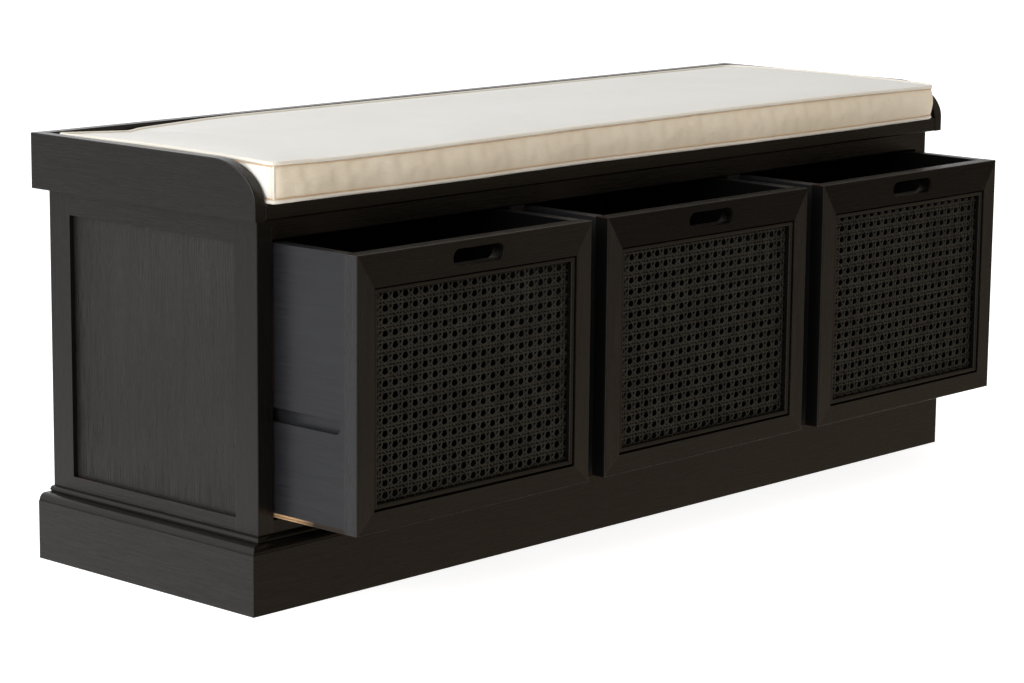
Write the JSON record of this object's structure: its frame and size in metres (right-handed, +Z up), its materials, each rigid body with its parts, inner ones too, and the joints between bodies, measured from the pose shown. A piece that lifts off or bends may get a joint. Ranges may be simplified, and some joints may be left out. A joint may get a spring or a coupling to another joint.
{
  "type": "storage bench",
  "caption": "Low wooden storage bench on a plinth with a gallery round the seat, a loose box cushion, and cane-fronted drawers that slide out on side runners.",
  "frame": {"origin": "on the floor, middle of the underside of the front plinth board", "axes": "+X to the right of somebody facing the drawers, +Y to the back, +Z up; drawers pull out along -Y"},
  "size_m": [1.05, 0.41, 0.4114],
  "materials": {
    "black_paint": "satin black paint over fine open wood grain, thin red-brown rub-through on the edges",
    "drawer_box_paint": "satin grey-black paint on smooth board",
    "inside_paint": "thin flat black paint on inside faces",
    "plywood": "black-painted faces with a raw pale edge",
    "bare_wood": "unpainted softwood",
    "black_cane": "black-stained hexagonal cane weave with a dull sheen",
    "screw_steel": "zinc-plated countersunk screw",
    "cushion_cotton": "cream cotton canvas with piped seams"
  },
  "bodies": {
    "cabinet": {"back_panel": "inside_paint", "base_bead": "black_paint", "cabinet_floor": "inside_paint", "corner_blocks": "bare_wood", "drawer_runners": "inside_paint", "front_bottom_rail": "black_paint", "front_top_rail": "black_paint", "gallery_back_rail": "black_paint", "left_arm": "black_paint", "left_divider": "inside_paint", "left_end_bottom_rail": "black_paint", "left_end_panel": "black_paint", "left_end_top_rail": "black_paint", "left_front_post": "black_paint", "left_rear_stile": "black_paint", "plinth_front_board": "black_paint", "plinth_left_board": "black_paint", "plinth_right_board": "black_paint", "rear_bottom_rail": "bare_wood", "rear_top_rail": "inside_paint", "right_arm": "black_paint", "right_divider": "inside_paint", "right_end_bottom_rail": "black_paint", "right_end_panel": "black_paint", "right_end_top_rail": "black_paint", "right_front_post": "black_paint", "right_rear_stile": "black_paint", "runner_screws": "screw_steel", "seat_board": "black_paint"},
    "left_drawer": {"left_drawer_back": "drawer_box_paint", "left_drawer_bottom": "plywood", "left_drawer_cane_bead": "black_paint", "left_drawer_cane_panel": "black_cane", "left_drawer_front_bottom_rail": "black_paint", "left_drawer_front_left_stile": "black_paint", "left_drawer_front_right_stile": "black_paint", "left_drawer_front_top_rail": "black_paint", "left_drawer_left_side": "drawer_box_paint", "left_drawer_right_side": "drawer_box_paint"},
    "middle_drawer": {"middle_drawer_back": "drawer_box_paint", "middle_drawer_bottom": "plywood", "middle_drawer_cane_bead": "black_paint", "middle_drawer_cane_panel": "black_cane", "middle_drawer_front_bottom_rail": "black_paint", "middle_drawer_front_left_stile": "black_paint", "middle_drawer_front_right_stile": "black_paint", "middle_drawer_front_top_rail": "black_paint", "middle_drawer_left_side": "drawer_box_paint", "middle_drawer_right_side": "drawer_box_paint"},
    "right_drawer": {"right_drawer_back": "drawer_box_paint", "right_drawer_bottom": "plywood", "right_drawer_cane_bead": "black_paint", "right_drawer_cane_panel": "black_cane", "right_drawer_front_bottom_rail": "black_paint", "right_drawer_front_left_stile": "black_paint", "right_drawer_front_right_stile": "black_paint", "right_drawer_front_top_rail": "black_paint", "right_drawer_left_side": "drawer_box_paint", "right_drawer_right_side": "drawer_box_paint"},
    "cushion": {"seat_cushion": "cushion_cotton"}
  },
  "joints": [
    {"name": "left_drawer_slide", "type": "slide", "parent": "cabinet", "child": "left_drawer", "axis": [0, -1, 0], "range_m": [-0.107, 0.083]},
    {"name": "middle_drawer_slide", "type": "slide", "parent": "cabinet", "child": "middle_drawer", "axis": [0, -1, 0], "range_m": [-0.1065, 0.0835]},
    {"name": "right_drawer_slide", "type": "slide", "parent": "cabinet", "child": "right_drawer", "axis": [0, -1, 0], "range_m": [-0.109, 0.081]},
    {"name": "cushion_lift", "type": "slide", "parent": "cabinet", "child": "cushion", "axis": [0, 0, 1], "range_m": [0, 0.1]}
  ]
}
